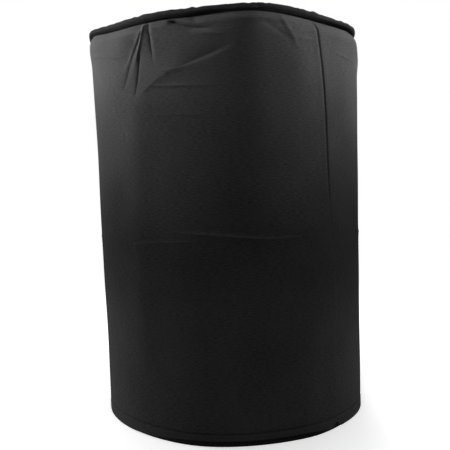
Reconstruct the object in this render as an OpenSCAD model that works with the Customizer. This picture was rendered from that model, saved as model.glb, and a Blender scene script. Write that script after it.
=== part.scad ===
// Upright padded cover for a loudspeaker cabinet.
// One wall panel is wrapped round and closed by a seam, the top is a sewn-in padded disc with
// a handle slot under a hinged flap, and folded tape binds every edge. The bottom is open.
// Millimetres, +Z up, origin in the middle of the bottom edge, -Y is the front.

/* [Cover] */
// Height from the bottom edge to the top of the bead
cover_h = 620; // [450:5:900]
// Outside diameter of the wall at the bottom
bottom_d = 440; // [360:2:600]
// Outside diameter of the wall at the top
top_d = 460; // [360:2:600]

/* [Layers] */
// Thickness of the woven outer fabric
shell_t = 1; // [0.6:0.1:1.6]
// Thickness of the foam in the wall and the top
padding_t = 6; // [3:0.5:12]
// Thickness of the foam where a row of stitches nips it
nipped_padding_t = 1.2; // [0.6:0.1:2]
// Thickness of the foam inside a bound edge
bead_padding_t = 2.4; // [2:0.1:4]
// Thickness of the inner lining
lining_t = 0.8; // [0.5:0.1:1.5]
// Bond line between two layers
layer_gap = 0.3; // [0.2:0.05:0.5]
// Length over which the foam swells from a stitched edge to its full thickness
puff_len = 30; // [15:1:60]
// Depth to which a row of stitches draws the wall in
edge_sink = 3.5; // [1:0.1:6]

/* [Binding tape] */
// Height of the folded tape on a bound edge
tape_fold = 12; // [9:0.5:20]
// Thickness of the tape
tape_t = 0.8; // [0.5:0.1:1.2]
// Rounding of the tape under the bottom edge
hem_r = 1.5; // [1.3:0.1:2.2]

/* [Hem] */
// Height of the hem's stitches above the tape behind it
hem_over = 6; // [2:0.5:15]
// Height of the hem's lower edge above the surface that the tape stands on
hem_lift = 1; // [0.5:0.1:6]

/* [Closing seam] */
// Direction of the seam round the wall, in degrees from +X
seam_az = -47.5; // [-180:0.5:180]
// Width of the seam allowance inside the lining
seam_allow = 12; // [6:1:24]
// Length at each end over which the allowance is cut back, past the swell of the foam
seam_stop = 8; // [2:1:40]

/* [Top] */
// Radius on which the top turns up into the bead
rim_r = 4; // [2:0.5:8]
// Length of the clear handle slot
slot_l = 140; // [100:2:180]
// Width of the clear handle slot
slot_w = 46; // [36:1:60]
// Reach of the tape on each face round the slot
slot_leg = 10; // [6:0.5:14]

/* [Flap] */
// Reach of the flap past each end of the slot, to the middle of its binding
flap_side = 26; // [22:1:50]
// Corner radius of the flap inside its tape
flap_corner_r = 4; // [1:0.5:14]
// Thickness of the foam in the flap
flap_padding_t = 2.2; // [1:0.1:4]
// Reach of the tape on each face of the flap
flap_leg = 10; // [6:0.5:14]
// Width of the doubled tape under the hinge edge
hinge_tape_w = 14; // [8:1:20]
// Space between the tape round the slot and the doubled tape
hinge_space = 11; // [2:1:30]

/* [Closure] */
// Length of the hook and loop strips
grip_l = 120; // [60:5:150]
// Width of the hook and loop strips
grip_w = 20; // [10:1:30]
// Thickness of each strip
grip_t = 1.7; // [1.4:0.1:2.5]
// Space between the tape round the slot and the strips
grip_space = 3; // [1:0.5:15]
// Space between the hook strip and the tape on the flap's free edge
grip_margin = 4; // [1:0.5:15]
// Clearance between pieces that move past each other
run_gap = 0.3; // [0.2:0.05:0.5]

/* [Hidden] */
$fn = 96;
shell_color = [0.10, 0.10, 0.11];
tape_color = [0.06, 0.06, 0.065];
foam_color = [0.28, 0.28, 0.29];
lining_color = [0.14, 0.14, 0.15];
strip_color = [0.04, 0.04, 0.045];

// Faces of a laminate, counted from the outside in: a layer lies between its outer face and the next
shell_out = 0;
shell_in = 1;
foam_out = 2;
foam_in = 3;
lining_out = 4;
lining_in = 5;

// Steps along a swell, a bead and a crown
puff_steps = 6;
bead_steps = 4;
crown_steps = 12;

// Heights that the top seam shares: the crown of the bead takes half of the folded tape
crown_h = tape_fold / 2;
stitch_z = cover_h - tape_fold;
stack_top = cover_h - crown_h;
panel_z = stitch_z - rim_r;

// Heights that the bottom edge shares: the hem's stitches, and the foam and lining inside the tape
hem_z = tape_fold + hem_over;
sole_z = tape_t + 3 * layer_gap;
tape_room = layer_gap + tape_t;
over_cut = 1;

function ease(t) = let (c = min(1, max(0, t))) c * c * (3 - 2 * c);
function mix(a, b, t) = a + (b - a) * t;
function reversed(list) = [for (i = [len(list) - 1:-1:0]) list[i]];

// Depth of a laminate's face under its outer face, for a foam thickness
function depth(face, foam_t) =
    [0, shell_t, shell_t + layer_gap, shell_t + layer_gap + foam_t,
     shell_t + 2 * layer_gap + foam_t, shell_t + 2 * layer_gap + foam_t + lining_t][face];

// Wall: the foam is nipped at both rows of stitches and swells away from them
function wall_r(z) = mix(bottom_d, top_d, z / cover_h) / 2;
function is_low(z) = z < cover_h / 2;
function from_edge(z) = min(z, cover_h - z);
function edge_fold(z) = is_low(z) ? hem_z : tape_fold;
function in_bead(z) = from_edge(z) < edge_fold(z);
function bead_share(z) = ease(2 * (1 - from_edge(z) / edge_fold(z)));
function puff_share(z) = ease((from_edge(z) - edge_fold(z)) / puff_len);
function wall_foam(z) = in_bead(z)
    ? mix(nipped_padding_t, bead_padding_t, bead_share(z))
    : mix(nipped_padding_t, padding_t, puff_share(z));
function wall_sink(z) = in_bead(z)
    ? edge_sink + nipped_padding_t - wall_foam(z)
    : edge_sink * (1 - puff_share(z));

// Foam and lining step back behind the hem, to leave room for the tape that binds them
function step_back(face, z) = face >= foam_out && is_low(z)
    ? tape_room * (1 - ease((z - tape_fold) / hem_over))
    : 0;
function wall_face(face, z, out = 0) =
    [wall_r(z) - wall_sink(z) - depth(face, wall_foam(z)) - step_back(face, z) + out, z];

function bead_heights(fold) = [for (k = [0:bead_steps]) fold * (1 + k / bead_steps) / 2];
sole_heights = bead_heights(tape_fold);
top_heights = [for (k = [0:bead_steps]) stitch_z + crown_h * k / bead_steps];
wall_heights = concat(
    bead_heights(hem_z),
    [for (k = [1:puff_steps]) hem_z + puff_len * k / puff_steps],
    [for (k = [puff_steps:-1:1]) stitch_z - puff_len * k / puff_steps],
    top_heights);

// Top: a padded disc whose two cloths turn up as a rim, between the wall and the inner leg of the tape
full_depth = depth(lining_in, padding_t);
rim_depth = depth(lining_in, 0);
rim_out_r = wall_r(panel_z - full_depth) - edge_sink - depth(lining_in, nipped_padding_t) - layer_gap;
rim_c = rim_out_r - rim_depth - rim_r;

function rim_face_r(face) = rim_out_r - rim_depth + depth(face, 0);
function top_disc(face) = concat(
    [[0, panel_z - depth(face, padding_t)]],
    [for (k = [0:puff_steps]) let (t = k / puff_steps)
        [rim_c - puff_len * (1 - t), panel_z - depth(face, mix(padding_t, nipped_padding_t, ease(t)))]]);
function top_face(face) = concat(
    top_disc(face),
    [for (k = [1:bead_steps])
        let (t = k / bead_steps, a = 90 * t - 90, r = rim_r + depth(face, nipped_padding_t * (1 - t)))
        [rim_c + r * cos(a), panel_z + rim_r + r * sin(a)]],
    [[rim_face_r(face), stack_top]]);

// Wall layers: one panel, open along the seam, from one face to the next
module wall_layer(face, low, end_gap) {
    half_open = asin(end_gap / wall_r(0));
    heights = concat([low], wall_heights);
    outline = concat(
        [for (z = heights) wall_face(face, z)],
        [for (z = reversed(heights)) wall_face(face + 1, z)]);
    rotate([0, 0, seam_az + half_open])
        rotate_extrude(angle = 360 - 2 * half_open)
            polygon(outline);
}

// Closing seam: straight strips along the wall, in pairs on both sides of the seam plane
seam_low = hem_z + puff_len + seam_stop;
seam_high = stitch_z - puff_len - seam_stop;
seam_depth = full_depth + seam_allow;
shell_side = layer_gap / 2;
lining_side = shell_side + shell_t + layer_gap;
tape_side = lining_side + lining_t + layer_gap;

module seam_strip(depth_out, depth_in, side, thick) {
    rotate([0, 0, seam_az])
        translate([0, side + thick, 0])
            rotate([90, 0, 0])
                linear_extrude(thick)
                    polygon([
                        [wall_r(seam_low) - depth_out, seam_low],
                        [wall_r(seam_high) - depth_out, seam_high],
                        [wall_r(seam_high) - depth_in, seam_high],
                        [wall_r(seam_low) - depth_in, seam_low]]);
}

module seam_pair(depth_out, depth_in, side, thick) {
    seam_strip(depth_out, depth_in, side, thick);
    seam_strip(depth_out, depth_in, -side - thick, thick);
}

module wall_shell() {
    color(shell_color) {
        wall_layer(shell_out, hem_lift, shell_side + shell_t / 2);
        seam_pair(shell_t / 2, seam_depth, shell_side, shell_t);
    }
}

module wall_padding() {
    color(foam_color)
        wall_layer(foam_out, sole_z, lining_side);
}

module wall_lining() {
    color(lining_color) {
        wall_layer(lining_out, sole_z, lining_side + lining_t / 2);
        seam_pair(full_depth - lining_t / 2, seam_depth, lining_side, lining_t);
    }
}

module closing_seam_tape() {
    web_depth = seam_depth + layer_gap;
    color(tape_color) {
        seam_pair(full_depth + tape_room, web_depth + tape_t, tape_side, tape_t);
        seam_strip(web_depth, web_depth + tape_t, -tape_side - tape_t, 2 * (tape_side + tape_t));
    }
}

// Slot outline with round ends, grown by a margin on every side
module slot_outline(margin) {
    square([slot_l - slot_w, slot_w + 2 * margin], center = true);
    for (side = [-1, 1])
        translate([side * (slot_l - slot_w) / 2, 0])
            circle(slot_w / 2 + margin);
}

module top_layer(near_face, far_face) {
    difference() {
        rotate_extrude()
            polygon(concat(near_face, reversed(far_face)));
        translate([0, 0, panel_z - full_depth - over_cut])
            linear_extrude(full_depth + 2 * over_cut)
                slot_outline(tape_room);
    }
}

module top_shell() {
    color(shell_color)
        top_layer(top_face(shell_out), top_face(shell_in));
}

module top_padding() {
    color(foam_color)
        top_layer(top_disc(foam_out), top_disc(foam_in));
}

module top_lining() {
    color(lining_color)
        top_layer(top_face(lining_out), top_face(lining_in));
}

// Bead over the top seam: an outer leg, a round crown and an inner leg of even thickness
module top_edge_binding() {
    leg_r = rim_face_r(shell_out);
    crown_out_r = wall_face(shell_out, stack_top, tape_room)[0];
    crown_in_r = leg_r - tape_room;
    crown_mid_r = (crown_out_r + crown_in_r) / 2;
    crown_half = (crown_out_r - crown_in_r) / 2;
    angles = [for (k = [1:crown_steps - 1]) 180 * k / crown_steps];
    outside = concat(
        [for (z = top_heights) wall_face(shell_out, z, tape_room)],
        [for (a = angles) [crown_mid_r + crown_half * cos(a), stack_top + crown_h * sin(a)]],
        [[crown_in_r, stack_top], [crown_in_r, stitch_z]]);
    inside = concat(
        [[leg_r - layer_gap, stitch_z], [leg_r - layer_gap, stack_top]],
        [for (a = reversed(angles))
            [crown_mid_r + (crown_half - tape_t) * cos(a), stack_top + (crown_h - tape_t) * sin(a)]],
        [for (z = reversed(top_heights)) wall_face(shell_out, z, layer_gap)]);
    color(tape_color)
        rotate_extrude()
            polygon(concat(outside, inside));
}

// Tape round the foam and lining at the bottom, behind the hem: two legs and a flat sole
module bottom_edge_binding() {
    sole_out_r = wall_face(foam_out, sole_z, tape_room)[0];
    sole_in_r = wall_face(lining_in, sole_z, -tape_room)[0];
    angles = [for (k = [0:bead_steps]) 90 * k / bead_steps];
    outside = concat(
        [for (z = reversed(sole_heights)) wall_face(foam_out, z, tape_room)],
        [for (a = angles) [sole_out_r - hem_r + hem_r * cos(a), hem_r - hem_r * sin(a)]],
        [for (a = reversed(angles)) [sole_in_r + hem_r - hem_r * cos(a), hem_r - hem_r * sin(a)]],
        [for (z = sole_heights) wall_face(lining_in, z, -tape_room)]);
    bend_r = hem_r - tape_t;
    inside = concat(
        [for (z = reversed(sole_heights)) wall_face(lining_in, z, -layer_gap)],
        [for (a = angles) [sole_in_r + hem_r - bend_r * cos(a), hem_r - bend_r * sin(a)]],
        [for (a = reversed(angles)) [sole_out_r - hem_r + bend_r * cos(a), hem_r - bend_r * sin(a)]],
        [for (z = sole_heights) wall_face(foam_out, z, layer_gap)]);
    color(tape_color)
        rotate_extrude()
            polygon(concat(outside, inside));
}

// Tape folded over the edge of the slot, with a leg on each face of the top
module handle_slot_binding() {
    color(tape_color)
        translate([0, 0, panel_z - full_depth - tape_room])
            difference() {
                linear_extrude(full_depth + 2 * tape_room)
                    slot_outline(slot_leg);
                translate([0, 0, -over_cut])
                    linear_extrude(full_depth + 2 * tape_room + 2 * over_cut)
                        slot_outline(0);
                translate([0, 0, tape_t])
                    linear_extrude(full_depth + 2 * layer_gap)
                        difference() {
                            slot_outline(slot_leg + over_cut);
                            slot_outline(tape_t);
                        }
            }
}

// Flap: its hinge axis is the middle of the round nose of its rear binding
flap_depth = depth(lining_in, flap_padding_t);
nose_r = flap_depth / 2 + tape_room;
strip_room = 2 * grip_t + run_gap;
slot_edge_y = slot_w / 2 + slot_leg;
hinge_y = slot_edge_y + hinge_space + hinge_tape_w / 2;
hinge_z = panel_z + strip_room + flap_depth / 2;
grip_y = -slot_edge_y - grip_space - grip_w / 2;
flap_front_y = grip_y - grip_w / 2 - grip_margin - flap_leg;
flap_mid_y = (hinge_y + flap_front_y) / 2;
flap_bend_r = flap_leg + flap_corner_r;
flap_core_l = slot_l + 2 * flap_side;
flap_core_w = hinge_y - flap_front_y;
flap_run_l = flap_core_l - 2 * flap_bend_r;
flap_run_w = flap_core_w - 2 * flap_bend_r;

module flap_outline() {
    square([flap_core_l, flap_run_w], center = true);
    square([flap_run_l, flap_core_w], center = true);
    for (side = [-1, 1], end = [-1, 1])
        translate([side * flap_run_l / 2, end * flap_run_w / 2])
            circle(flap_bend_r);
}

module flap_layer(face) {
    high = hinge_z + flap_depth / 2 - depth(face, flap_padding_t);
    low = hinge_z + flap_depth / 2 - depth(face + 1, flap_padding_t);
    translate([0, flap_mid_y, low])
        linear_extrude(high - low)
            flap_outline();
}

module flap_shell() {
    color(shell_color)
        flap_layer(shell_out);
}

module flap_padding() {
    color(foam_color)
        flap_layer(foam_out);
}

module flap_lining() {
    color(lining_color)
        flap_layer(lining_out);
}

// Section of the tape folded over the flap's edge, with its nose to the right
module flap_tape_section() {
    difference() {
        union() {
            circle(nose_r);
            translate([-flap_leg, -nose_r])
                square([flap_leg, 2 * nose_r]);
        }
        translate([-flap_leg - over_cut, -nose_r + tape_t])
            square([flap_leg + over_cut + layer_gap, 2 * (nose_r - tape_t)]);
    }
}

module flap_tape_run(run, reach) {
    translate([0, reach, 0])
        rotate([90, 0, 90])
            linear_extrude(run, center = true)
                flap_tape_section();
}

module flap_tape_corner() {
    translate([flap_run_l / 2, flap_run_w / 2, 0])
        rotate_extrude(angle = 90)
            translate([flap_bend_r, 0])
                flap_tape_section();
}

module flap_binding() {
    color(tape_color)
        translate([0, flap_mid_y, hinge_z]) {
            for (turn = [0, 180])
                rotate([0, 0, turn]) {
                    flap_tape_run(flap_run_l, flap_core_w / 2);
                    rotate([0, 0, 90])
                        flap_tape_run(flap_run_w, flap_core_l / 2);
                    flap_tape_corner();
                    mirror([1, 0, 0])
                        flap_tape_corner();
                }
        }
}

// Doubled tape on the top, just under the nose of the flap's rear binding
module flap_hinge_tape() {
    thick = strip_room - tape_room - run_gap;
    color(tape_color)
        translate([-flap_run_l / 2, hinge_y - hinge_tape_w / 2, panel_z])
            cube([flap_run_l, hinge_tape_w, thick]);
}

module grip_strip(low) {
    color(strip_color)
        translate([-grip_l / 2, grip_y - grip_w / 2, low])
            cube([grip_l, grip_w, grip_t]);
}

module loop_strip() {
    grip_strip(panel_z);
}

module hook_strip() {
    grip_strip(panel_z + grip_t + run_gap);
}

wall_shell();
wall_padding();
wall_lining();
closing_seam_tape();
top_shell();
top_padding();
top_lining();
top_edge_binding();
bottom_edge_binding();
handle_slot_binding();
loop_strip();
flap_hinge_tape();
flap_shell();
flap_padding();
flap_lining();
flap_binding();
hook_strip();
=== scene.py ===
import math

import bmesh
import bpy
import numpy as np
from mathutils import Matrix, Vector


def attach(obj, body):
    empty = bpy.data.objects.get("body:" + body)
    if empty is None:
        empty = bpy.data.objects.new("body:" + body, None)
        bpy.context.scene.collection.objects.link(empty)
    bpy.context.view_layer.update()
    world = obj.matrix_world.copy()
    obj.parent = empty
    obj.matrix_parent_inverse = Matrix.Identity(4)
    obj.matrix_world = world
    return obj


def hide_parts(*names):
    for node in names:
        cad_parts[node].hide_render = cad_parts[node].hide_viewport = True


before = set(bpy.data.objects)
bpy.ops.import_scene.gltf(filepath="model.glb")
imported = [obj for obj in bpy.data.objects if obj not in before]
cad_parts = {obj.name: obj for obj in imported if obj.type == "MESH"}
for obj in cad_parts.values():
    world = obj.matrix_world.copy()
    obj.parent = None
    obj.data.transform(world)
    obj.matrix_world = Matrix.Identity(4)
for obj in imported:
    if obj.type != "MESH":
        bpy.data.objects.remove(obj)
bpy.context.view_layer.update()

MM = 0.001

# Sizes of the solids, in millimetres
COVER_H, BOTTOM_R, TOP_R = 620, 220, 230
SHELL_T, LINING_T, TAPE_T, LAYER_GAP = 1.0, 0.8, 0.8, 0.3
FOAM_T, NIPPED_T, BEAD_FOAM_T, FLAP_FOAM_T = 6.0, 1.2, 2.4, 2.2
TAPE_ROOM = LAYER_GAP + TAPE_T
PUFF_LEN, EDGE_SINK, TAPE_FOLD, RIM_R = 30, 3.5, 12, 4
CROWN_H = TAPE_FOLD / 2
STITCH_Z = COVER_H - TAPE_FOLD
STACK_TOP = COVER_H - CROWN_H
PANEL_Z = STITCH_Z - RIM_R
HEM_OVER, HEM_LIFT, HEM_R = 6, 1, 1.5
HEM_Z = TAPE_FOLD + HEM_OVER
SOLE_Z = TAPE_T + 3 * LAYER_GAP
SLOT_L, SLOT_W, SLOT_LEG = 140, 46, 10
FLAP_LEG, FLAP_CORNER_R, FLAP_SIDE = 10, 4, 26
GRIP_L, GRIP_W, GRIP_T, GRIP_SPACE, GRIP_MARGIN = 120, 20, 1.7, 3, 4
HINGE_TAPE_W, HINGE_SPACE, RUN_GAP = 14, 11, 0.3
SEAM_ALLOW, SEAM_STOP = 12, 8

# How the cloth hangs on those sizes, in millimetres and degrees
LEAN = -7.5
HEM_NIP, HEM_BULGE, HEM_PUFF = 0.4, 0.3, 10
HEM_GROOVE, HEM_GROOVE_W = 1.5, 1.7
THROAT, THROAT_H, TOP_PUFF, BEAD_SWELL = 1.6, 2.4, 12, 2.2
FRONT_HEM_LIFT, HEM_NOTCH, HEM_NOTCH_W = 7.6, 8.5, 1.7
FOOT_FLARE, FOOT_FLARE_H, FOOT_WAVE_H = 1.0, 95, 230
WAVE_Z, CORNER_Z, TUCK_Z, RISE_Z = 330, 530, 590, 250
WAVE_LEN, CORNER_LEN, TUCK_LEN, RISE_LEN = 270, 75, 18, 350
SEAM_AZ, SEAM_BEND, SEAM_BEND_Z, SEAM_BEND_LEN = -47.3, 6.9, 300, 305
GROOVE_DEPTH, GROOVE_W, WELT, WELT_AT, WELT_W = 1.55, 1.75, 0.45, 6, 4
ARC = math.radians((BOTTOM_R + TOP_R) / 2)

# Faces of a laminate, from the outside in
SHELL_OUT, SHELL_IN, FOAM_OUT, FOAM_IN, LINING_OUT, LINING_IN = range(6)


def ease(t):
    t = np.clip(t, 0, 1)
    return t * t * (3 - 2 * t)


def mix(a, b, t):
    return a + (b - a) * t


def bell(away, width):
    """A round bump of height 1."""
    return np.exp(-((away / width) ** 2))


def wrapped(degrees):
    return (degrees + 180) % 360 - 180


def bump(az, middle, width):
    """A bell on the azimuth circle."""
    return bell(wrapped(az - middle), width)


def between(az, start, rise, end, fall):
    """1 between two azimuths, easing in past the first and out before the second."""
    az = wrapped(az)
    return ease((az - start) / rise) * ease((end - az) / fall)


def stops(*pairs):
    """Values from stop to stop. Each pair is a stop and the largest step after it."""
    runs = []
    for (low, step), (high, _) in zip(pairs, pairs[1:]):
        count = max(1, math.ceil((high - low) / step))
        runs.append(np.linspace(low, high, count, endpoint=False))
    return np.concatenate([*runs, [pairs[-1][0]]])


def polar(az, r, z, lean=0):
    """Points at azimuths, radii and heights, moved sideways by a lean."""
    turn = np.radians(az)
    return np.stack((r * np.cos(turn) + lean, r * np.sin(turn), z), -1)


# Wall: plain profile

def wall_r(z):
    return mix(BOTTOM_R, TOP_R, z / COVER_H)


def wall_foam(z):
    edge = np.where(z < COVER_H / 2, z, COVER_H - z)
    edge_fold = np.where(z < COVER_H / 2, HEM_Z, TAPE_FOLD)
    bead = mix(NIPPED_T, BEAD_FOAM_T, ease(2 * (1 - edge / edge_fold)))
    wall = mix(NIPPED_T, FOAM_T, ease((edge - edge_fold) / PUFF_LEN))
    return np.where(edge < edge_fold, bead, wall)


def wall_sink(z):
    """How far the outer face is drawn in at the two rows of stitches."""
    low = np.where(
        z < HEM_Z,
        HEM_NIP - HEM_BULGE * ease((HEM_Z - z) / HEM_OVER),
        HEM_NIP * (1 - ease((z - HEM_Z) / HEM_PUFF)),
    )
    low = low + HEM_GROOVE * bell(z - HEM_Z, HEM_GROOVE_W)
    high = np.where(
        z > STITCH_Z,
        EDGE_SINK + NIPPED_T - wall_foam(z),
        EDGE_SINK * (1 - ease((STITCH_Z - z) / TOP_PUFF)),
    )
    throat = THROAT * bell(z - STITCH_Z, THROAT_H)
    return np.where(z < COVER_H / 2, low, high + throat)


def laminate_depth(face, foam_t):
    layers = (0, SHELL_T, LAYER_GAP, foam_t, LAYER_GAP, LINING_T)
    return sum(layers[: face + 1])


def wall_depth(face, z):
    """Depth of a layer's face under the outer face, with room for the tape behind the hem."""
    behind = TAPE_ROOM * (1 - ease((z - TAPE_FOLD) / HEM_OVER)) if face >= FOAM_OUT else 0
    return laminate_depth(face, wall_foam(z)) + behind


# Wall: how the cloth has folded

def seam_az(z):
    """The closing seam leans, stands nearly plumb low down and bends to the left near the top."""
    lean = 1.3 * bell(z - 195, 75) - 1.05 * bell(z - 385, 95)
    bend = SEAM_BEND * np.clip((z - SEAM_BEND_Z) / SEAM_BEND_LEN, 0, 1) ** 2.2
    return lean + SEAM_AZ - bend + 0.6 * (1 - ease(z / 200))


def edge_waves(az):
    """Slow outward waves of the top edge."""
    front = 3.0 * bump(az, -76, 11) - 1.5 * bump(az, -50, 9) + 2.0 * bump(az, -30, 12)
    back = 2.0 * bump(az, 70, 22) - 2.5 * bump(az, 118, 20) + 2.5 * bump(az, 165, 18)
    return front + back + 2.0 * bump(az, -146, 9)


def wall_waves(az, z):
    """The waves of the top edge as they die away down the wall."""
    return edge_waves(az) * ease((z - WAVE_Z) / WAVE_LEN)


def edge_corners(az):
    """Corners that the bead keeps from packing."""
    front = 8.0 * bump(az, -151, 9) + 4.0 * bump(az, -84, 12) + 5.0 * bump(az, -31, 7)
    return front + 5.0 * bump(az, 40, 12)


def edge_tucks(az):
    """Stretches behind the corners where the bead is drawn in over a bulging wall. Right of the
    middle it stands out instead."""
    drawn_in = 4.0 * bump(az, -173, 11) + 6.5 * bump(az, -45, 18) + 9.0 * bump(az, -11, 11)
    return drawn_in - 2.6 * bump(az, -73, 13)


def edge_out(az):
    return edge_waves(az) + edge_corners(az) - edge_tucks(az)


def edge_up(az):
    left = 2.0 * bump(az, -150, 14) + 4.0 * bump(az, -154, 7)
    front = 2.0 * bump(az, -76, 13) - 1.0 * bump(az, -103, 5) + 3.2 * bump(az, -48, 22)
    return left + front - 0.8 + 1.2 * bump(az, 60, 25) - 1.4 * bump(az, 125, 25)


def neck_up(az, z):
    """How far the stitches of the top edge sit higher than their level."""
    rise = 2.2 * bump(az, -152, 16) + 2.6 * bump(az, -38, 18) + 1.6 * bump(az, -86, 9)
    return rise * ease((z - STITCH_Z + 23) / 20) * ease((STACK_TOP - z) / CROWN_H)


def foot_out(az, z):
    """Outward waves of the bottom edge, and the flare of its front."""
    front = 3.4 * bump(az, -104, 15) + 2.0 * bump(az, -58, 9) + 1.4 * bump(az, -166, 20)
    waves = front + 2.4 * bump(az, -24, 14) + 2.0 * bump(az, 70, 30) - 1.5 * bump(az, 125, 20)
    flare = FOOT_FLARE * between(az, -150, 40, -22, 30)
    return waves * (1 - ease(z / FOOT_WAVE_H)) + flare * (1 - ease(z / FOOT_FLARE_H))


def rounded(path):
    points = [np.array((az * ARC, z)) for az, z in path]
    for _ in range(2):
        cut = [mix(a, b, t) for a, b in zip(points, points[1:]) for t in (0.25, 0.75)]
        points = [points[0], *cut, points[-1]]
    return points


def fold(az, z, path, height, left, right, starts, ends, power=2.0):
    """One fold in the cloth along a path of azimuths and heights, with a width for each side of it.
    starts and ends are the shares of its length over which it rises and dies away. A power of 2
    makes it round and a power of 1 a crease."""
    first = path[0][0]
    here = np.stack(((wrapped(az - first) + first) * ARC, z), -1)
    points = rounded(path)
    lengths = [np.linalg.norm(b - a) for a, b in zip(points, points[1:])]
    nearest = np.full(az.shape, np.inf)
    side, share = np.zeros(az.shape), np.zeros(az.shape)
    done = 0
    for a, b, length in zip(points, points[1:], lengths):
        way = (b - a) / length
        along = np.clip((here - a) @ way, 0, length)
        off = here - a - along[..., None] * way
        away = np.linalg.norm(off, axis=-1)
        closer = away < nearest
        nearest = np.where(closer, away, nearest)
        side = np.where(closer, way[0] * off[..., 1] - way[1] * off[..., 0], side)
        share = np.where(closer, (done + along) / sum(lengths), share)
        done += length
    width = np.where(side > 0, left, right)
    strength = ease(share / starts if starts else 1) * ease((1 - share) / ends if ends else 1)
    return height * strength * np.exp(-((nearest / width) ** power))


def crease(az, z, path, height, left, right, starts, ends):
    return fold(az, z, path, height, left, right, starts, ends, 1.0)


def pinch(az, z):
    """The pinched pleat under the binding at the left of the front: creases that fan out from one point."""
    return (
        fold(az, z, [(-121.5, 608), (-125.2, 585), (-130, 550)], -4.0, 3.5, 14, 0, 0.6)
        + fold(az, z, [(-124, 596), (-128.5, 570), (-132, 540)], -5.0, 3, 22, 0.3, 0.4)
        + crease(
            az, z, [(-120.7, 600), (-123.2, 580), (-126.4, 560), (-132.6, 505)],
            -2.8, 1.6, 3.0, 0.1, 0.3,
        )
        + crease(az, z, [(-121.6, 600), (-124.9, 578), (-128.0, 556)], 1.5, 1.4, 2.4, 0.1, 0.5)
        + crease(
            az, z, [(-119.7, 608), (-121.4, 580), (-124.3, 553), (-127, 530)],
            3.0, 2.6, 1.5, 0.05, 0.6,
        )
        + crease(az, z, [(-121.9, 573), (-123.8, 528), (-126.5, 488)], -2.6, 2.2, 1.6, 0.2, 0.5)
        + crease(az, z, [(-118.5, 609), (-117.4, 575), (-116.1, 540)], -3.4, 1.8, 3.2, 0, 0.6)
        + crease(az, z, [(-117.6, 608), (-116.4, 577), (-115.2, 545)], 1.8, 7, 1.6, 0.05, 0.6)
    )


def front_folds(az, z):
    """Soft folds of the front: the slanting break, the puckers at the binding and two facets."""
    return (
        crease(
            az, z, [(-124.2, 502), (-117.5, 519), (-111, 533), (-104, 541), (-97, 551)],
            2.4, 13, 6, 0.2, 0.4,
        )
        + crease(az, z, [(-117.3, 534.5), (-112, 535.5), (-106.5, 538)], 1.0, 2.2, 1.6, 0.2, 0.4)
        + crease(
            az, z, [(-110, 534), (-104, 543), (-96, 553), (-90, 561), (-85, 575)],
            -2.3, 11, 2.4, 0.3, 0.45,
        )
        + crease(
            az, z, [(-110.5, 605.5), (-105.4, 599.3), (-100, 592), (-91, 586)],
            -7.5, 2.4, 4.2, 0.1, 0.6,
        )
        + crease(az, z, [(-103, 589), (-97, 582), (-89, 579)], 1.5, 2.6, 2.6, 0.3, 0.5)
        + crease(az, z, [(-109, 594), (-103, 589), (-98, 582)], -1.0, 2.2, 3, 0.3, 0.4)
        + crease(az, z, [(-102, 608), (-100, 600), (-97, 592)], -3.2, 2.4, 2.4, 0.0, 0.7)
        + crease(az, z, [(-70.5, 607), (-67.2, 584), (-62, 553)], 2.0, 5, 1.8, 0.05, 0.6)
        + crease(az, z, [(-79, 601), (-73, 586), (-66, 570)], -1.0, 3, 1.8, 0.3, 0.4)
        + fold(az, z, [(-124.5, 512), (-125.8, 420), (-127.5, 250), (-128, 60)], 3.0, 24, 24, 0.05, 0.2)
        + fold(az, z, [(-66, 600), (-63, 520), (-58, 420)], 2.6, 24, 30, 0.1, 0.6)
        + fold(az, z, [(-168, 592), (-152, 590), (-138, 588)], 1.2, 10, 10, 0.3, 0.3)
        + fold(az, z, [(-36, 584), (-18, 582), (2, 580)], 2.0, 24, 16, 0.2, 0.3)
    )


def packing_folds(az, z):
    """Sharp flat folds from packing, all round the cover and fainter higher up."""
    return (
        crease(az, z, [(-131, 289), (-117, 293), (-98, 293)], 3.4, 1.7, 8, 0.1, 0.5)
        + crease(
            az, z, [(-113, 308), (-98, 303), (-85, 297.5), (-73, 294), (-49, 303)],
            3.6, 1.7, 8, 0.2, 0.1,
        )
        + crease(az, z, [(-48, 294), (-23, 298), (10, 291), (50, 296)], 1.0, 2.4, 6, 0.05, 0.2)
        + crease(
            az, z, [(60, 293), (100, 299), (150, 294), (195, 298), (210, 292)],
            1.0, 2.4, 6, 0.1, 0.2,
        )
        + crease(az, z, [(-157, 583), (-140, 571), (-128, 566)], 1.0, 2.4, 2.4, 0.1, 0.4)
        + crease(
            az, z, [(-119.5, 518.5), (-112, 514), (-104, 513.5), (-92, 509)],
            1.5, 2.2, 1.6, 0.25, 0.5,
        )
        + crease(az, z, [(-124, 479), (-116, 474), (-104, 473.5), (-92, 469)], 0.8, 2.4, 2.0, 0.4, 0.5)
        + crease(az, z, [(-110, 214), (-88, 215)], 1.3, 1.8, 5, 0.3, 0.3)
        + crease(az, z, [(-69, 203), (-48, 198)], 1.3, 1.8, 5, 0.3, 0.3)
        + crease(az, z, [(-67, 576), (-53, 577)], 0.7, 2.4, 2.4, 0.3, 0.3)
        + crease(az, z, [(-46, 568), (-36, 564), (-24, 565)], 0.8, 2.2, 2.2, 0.3, 0.3)
        + crease(az, z, [(40, 470), (75, 476), (110, 471)], 0.9, 2.8, 2.8, 0.2, 0.3)
    )


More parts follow.
